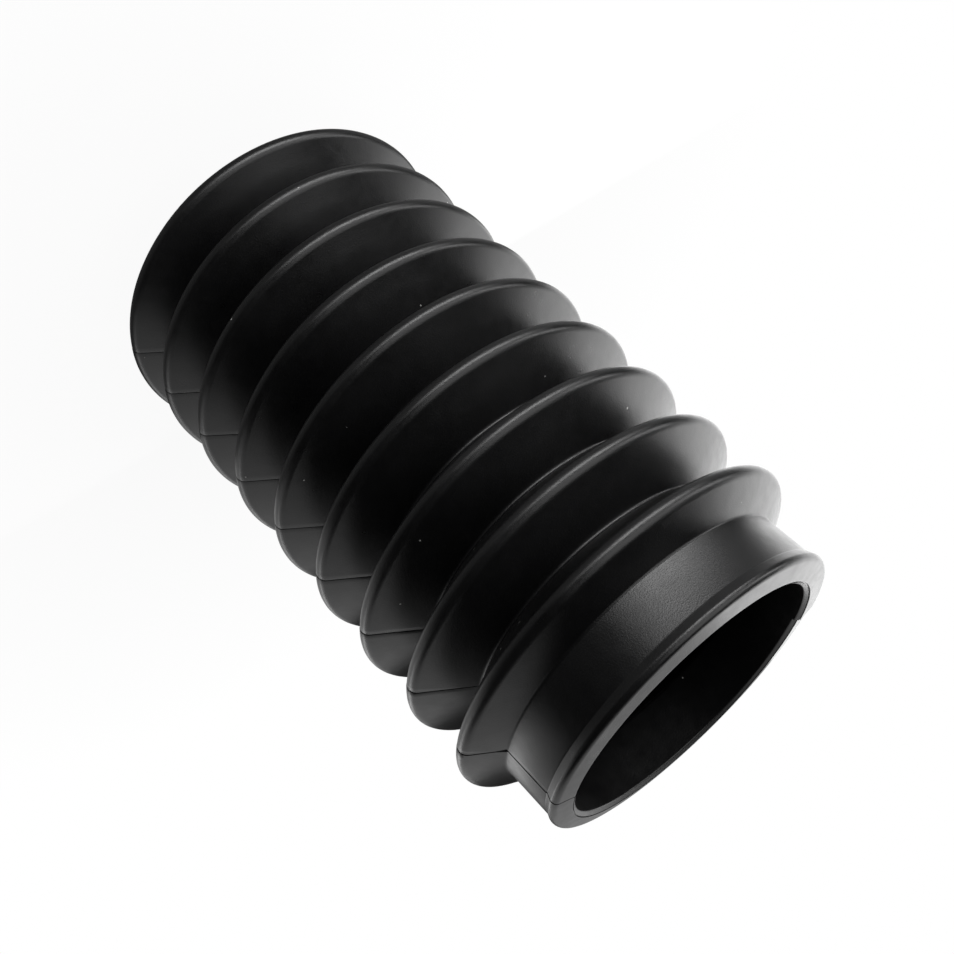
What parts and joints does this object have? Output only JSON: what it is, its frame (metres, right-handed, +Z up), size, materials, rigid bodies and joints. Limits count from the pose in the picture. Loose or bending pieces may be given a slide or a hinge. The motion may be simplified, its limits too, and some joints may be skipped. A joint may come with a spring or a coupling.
{
  "type": "rubber bellows boot",
  "caption": "Moulded black rubber bellows boot with even rounded convolutions, a beaded wide mouth cuff and a smaller plain tail cuff.",
  "frame": {"origin": "centre of the tail cuff's end face, on the surface that the boot stands on", "axes": "+Z up the boot's axis, from the tail cuff to the beaded mouth; the mould's parting plane is XZ"},
  "size_m": [0.08, 0.08, 0.1509],
  "materials": {
    "rubber": "matte moulded, with a fine mould parting line"
  },
  "bodies": {
    "root": {"bellows_boot": "rubber"}
  },
  "joints": []
}
